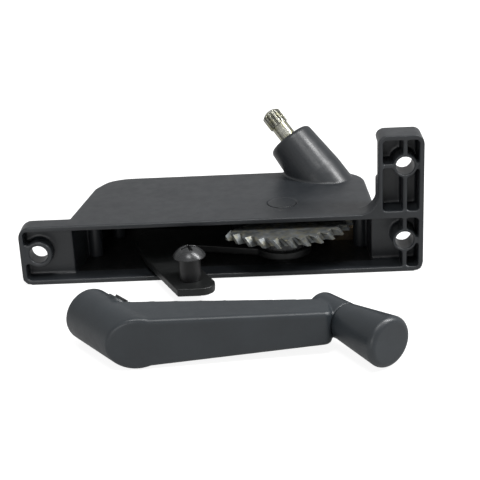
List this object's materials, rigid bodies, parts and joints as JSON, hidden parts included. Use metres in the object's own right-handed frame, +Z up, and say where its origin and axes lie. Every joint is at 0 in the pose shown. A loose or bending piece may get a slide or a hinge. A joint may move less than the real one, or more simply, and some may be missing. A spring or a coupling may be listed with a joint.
{
  "type": "awning window operator",
  "caption": "Worm-gear awning window operator with a hooked swinging arm, a sash track stud, an inclined splined spindle and its loose crank handle.",
  "frame": {"origin": "on the mounting face (the open front of the housing), at the housing's underside, straight in front of the arm's pivot axis", "axes": "+X along the housing towards the upright flange, +Y from the mounting face into the housing, +Z up from the underside towards the top plate"},
  "size_m": [0.165, 0.1586, 0.0581],
  "materials": {
    "case_paint": "satin black paint on a die casting",
    "crank_paint": "satin black paint on a die casting",
    "arm_steel": "black coated steel",
    "zinc_steel": "zinc-plated steel",
    "base_steel": "plated sheet steel",
    "dark_steel": "blackened steel",
    "bearing_bronze": "oiled bronze",
    "sleeve_plastic": "black plastic"
  },
  "bodies": {
    "case": {"gear_case": "case_paint", "base_plate": "base_steel", "base_plate_screws": "zinc_steel", "bearing_screws": "zinc_steel", "pivot_pin": "dark_steel", "pivot_washers": "bearing_bronze", "lower_bearing": "bearing_bronze", "spindle_bush": "bearing_bronze"},
    "spindle": {"spindle_shaft": "zinc_steel", "worm": "zinc_steel", "spindle_thrust_washer": "bearing_bronze"},
    "arm": {"gear_sector": "zinc_steel", "hub_spacer": "zinc_steel", "arm_link": "arm_steel", "hub_rivets": "dark_steel", "stud_screw": "dark_steel"},
    "sleeve": {"stud_sleeve": "sleeve_plastic"},
    "handle": {"crank_arm": "crank_paint", "spline_insert": "zinc_steel", "set_screw": "dark_steel", "knob_pin": "dark_steel"},
    "knob": {"knob": "crank_paint"}
  },
  "joints": [
    {"name": "arm_swing", "type": "hinge", "parent": "case", "child": "arm", "pos_m": [0, 0.018, 0], "axis": [0, 0, 1], "range_deg": [-17, 95]},
    {"name": "spindle_turn", "type": "hinge", "parent": "case", "child": "spindle", "pos_m": [0.02201, 0.0483, 0.01875], "axis": [-0.5721, 0.4156, 0.7071], "range_deg": [-2945, 527]},
    {"name": "sleeve_spin", "type": "hinge", "parent": "arm", "child": "sleeve", "pos_m": [-0.0378, -0.0159, 0.0123], "axis": [0, 0, 1], "continuous": true},
    {"name": "handle_lift", "type": "slide", "parent": "case", "child": "handle", "axis": [0, 0, 1], "range_m": [0, 0.12]},
    {"name": "knob_spin", "type": "hinge", "parent": "handle", "child": "knob", "pos_m": [0.02701, -0.07394, 0.01], "axis": [0.6157, -0.788, 0], "continuous": true}
  ],
  "couplings": [
    {"joint": "spindle_turn", "follows": "arm_swing", "ratio": -31}
  ]
}
